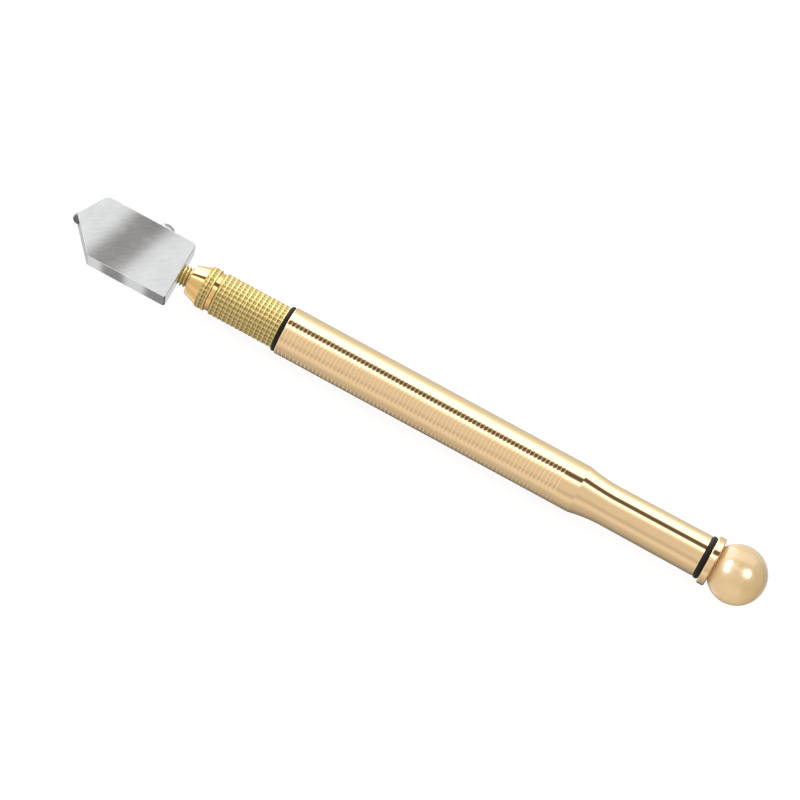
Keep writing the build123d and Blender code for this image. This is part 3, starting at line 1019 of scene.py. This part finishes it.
# Small softboxes near the ball: which way each lies (towards the ball's end, up the picture,
# towards the camera), its width and height, and its power in watts.
LAMP_DISTANCE = 300.0
SQUARE_BOX = ((-0.771, 0.197, 0.606), 240.0, 110.0, 1.4)
ROUND_BOX = ((0.440, 0.344, 0.829), 100.0, 100.0, 0.40)
ROUND_GLOW = ((0.440, 0.344, 0.829), 190.0, 190.0, 0.60)
FILL_BOX = ((0.30, -0.88, 0.36), 300.0, 300.0, 0.95)


def add_ball_light(name, box, shape, receivers, gloss=True):
    """A softbox linked to the ball alone, which lights either its gloss or its matt body."""
    direction, width, height, power = box
    view = bpy.context.scene.camera.matrix_world.to_3x3()
    tilt = Matrix.Rotation(-DESCENT, 3, "Z")
    away = (view @ tilt @ Vector(direction)).normalized()
    centre = Vector((BALL_CENTRE, 0, 0)) * MM
    data = bpy.data.lights.new(name, "AREA")
    data.shape = shape
    data.size = width * MM
    data.size_y = height * MM
    data.energy = power
    lamp = link(bpy.data.objects.new(name, data))
    lamp.location = centre + away * LAMP_DISTANCE * MM
    lamp.rotation_euler = away.to_track_quat("Z", "Y").to_euler()
    lamp.visible_camera = False
    lamp.visible_diffuse = not gloss
    lamp.visible_glossy = gloss
    lamp.light_linking.receiver_collection = receivers


def add_ball_lights(ball):
    """Softboxes that give the ball its square and its round highlight, and fill its lower side."""
    receivers = bpy.data.collections.new("ball_light_receivers")
    receivers.objects.link(ball)
    add_ball_light("square_softbox", SQUARE_BOX, "RECTANGLE", receivers)
    add_ball_light("round_softbox", ROUND_BOX, "ELLIPSE", receivers)
    add_ball_light("round_glow", ROUND_GLOW, "ELLIPSE", receivers)
    add_ball_light("ball_fill", FILL_BOX, "RECTANGLE", receivers, gloss=False)


# ---------------------------------------------------------------- the cutter
def finish_cad_nodes(materials):
    """The inner pieces keep their CAD shape and get their finish."""
    for node, material in materials.items():
        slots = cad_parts[node].material_slots
        for slot in slots:
            slot.link = "OBJECT"
            slot.material = material


def build():
    handle_gold = (rgb(0.93, 0.655, 0.365), rgb(0.90, 0.63, 0.35), 0.08)
    gold = turned_metal("handle_gold", *handle_gold)
    rear_gold = turned_metal("rear_gold", *handle_gold, roll=REAR_ROLL)
    nose_gold = turned_metal("nose_gold", rgb(0.94, 0.60, 0.245), rgb(0.91, 0.57, 0.225), 0.09)
    knurled = brass_with_painted_pit_shade("knurled_brass", *KNURL_RADII, rgb(0.80, 0.62, 0.29), 0.42)
    plain_brass = turned_metal("plain_brass", rgb(0.78, 0.66, 0.37), rgb(0.70, 0.58, 0.31), 0.17)
    screw_steel = turned_metal("screw_steel", rgb(0.40, 0.40, 0.41), rgb(0.30, 0.30, 0.31), 0.26, 1)
    pin_steel = turned_metal("pin_steel", rgb(0.45, 0.45, 0.47), rgb(0.38, 0.38, 0.40), 0.25, 2)
    spring_steel = turned_metal("spring_steel", rgb(0.50, 0.50, 0.52), rgb(0.42, 0.42, 0.44), 0.25)
    rubber = black_rubber()
    nylon = matte_fibre("washer_nylon", rgb(0.72, 0.70, 0.64), rgb(0.60, 0.58, 0.52), 0.5, 1.5)
    felt = matte_fibre("wick_felt", rgb(0.66, 0.60, 0.48), rgb(0.42, 0.37, 0.28), 0.9, 5.0)
    make_head(brushed_steel())
    make_wheel(dark_carbide())
    make_lock_screw(screw_steel)
    make_stem(brass_with_painted_pit_shade("threaded_brass", *STEM_THREAD_RADII, rgb(0.80, 0.70, 0.44), 0.22))
    make_nose(nose_gold, knurled)
    make_grip(knurled)
    make_o_ring("front_seal_ring", "front_o_ring", "handle", SOCKET_R, rubber)
    make_barrel(gold, rear_gold)
    make_o_ring("rear_seal_ring", "rear_o_ring", "cap_seal", PLUG_R + SEAL_FIT, rubber)
    make_plug(gold)
    add_ball_lights(make_ball(lacquered_gold()))
    finish_cad_nodes({
        "wheel_axle": pin_steel,
        "lock_pad": plain_brass,
        "valve_plunger": plain_brass,
        "valve_poppet": plain_brass,
        "spring_retainer": plain_brass,
        "valve_spring": spring_steel,
        "plunger_o_ring": rubber,
        "valve_seal": rubber,
        "thrust_washer": nylon,
        "oil_wick": felt,
    })


bpy.context.scene.view_settings.view_transform = "Standard"
add_camera()
light_studio()
lay_floor()
build()
